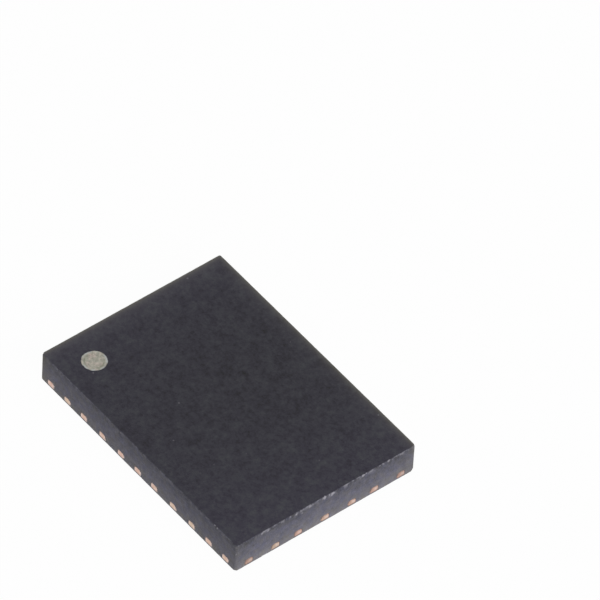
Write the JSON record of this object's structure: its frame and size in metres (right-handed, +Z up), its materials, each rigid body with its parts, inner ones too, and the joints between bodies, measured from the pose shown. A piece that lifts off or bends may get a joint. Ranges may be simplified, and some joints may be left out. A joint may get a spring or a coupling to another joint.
{
  "type": "crystal oscillator",
  "caption": "Flat black leadless surface-mount crystal oscillator: moulded block with a round corner mark, sawn copper lead ends in its sides and tinned solder lands below.",
  "frame": {"origin": "middle of the seating plane, on the tinned faces of the lands", "axes": "+X along the rows of lands, +Y across them, +Z up to the marked top face; terminal 1 is at the corner towards -X and -Y"},
  "size_m": [0.007, 0.005, 0.0009],
  "materials": {
    "mould_compound": "matte",
    "marking": "matte",
    "tin": "satin",
    "copper": "satin",
    "silicon": "polished",
    "adhesive": "matte",
    "lid_alloy": "satin",
    "ceramic": "matte",
    "gold": "satin",
    "quartz": "polished"
  },
  "bodies": {
    "root": {"mould_body": "mould_compound", "pin_1_mark": "marking", "tin_plating": "tin", "die_paddle": "copper", "terminal_1": "copper", "terminal_2": "copper", "terminal_3": "copper", "terminal_4": "copper", "terminal_5": "copper", "terminal_6": "copper", "oscillator_die": "silicon", "die_attach": "adhesive", "crystal_attach": "adhesive", "crystal_lid": "lid_alloy", "crystal_seal_ring": "lid_alloy", "crystal_base": "ceramic", "crystal_contacts": "gold", "crystal_steps": "gold", "quartz_blank": "quartz", "upper_electrode": "gold", "lower_electrode": "gold", "blank_glue_1": "adhesive", "blank_glue_2": "adhesive", "wire_terminal_1": "gold", "wire_terminal_3": "gold", "wire_terminal_4": "gold", "wire_terminal_5": "gold", "wire_terminal_6": "gold", "wire_ground": "gold", "wire_crystal_1": "gold", "wire_crystal_2": "gold"}
  },
  "joints": []
}
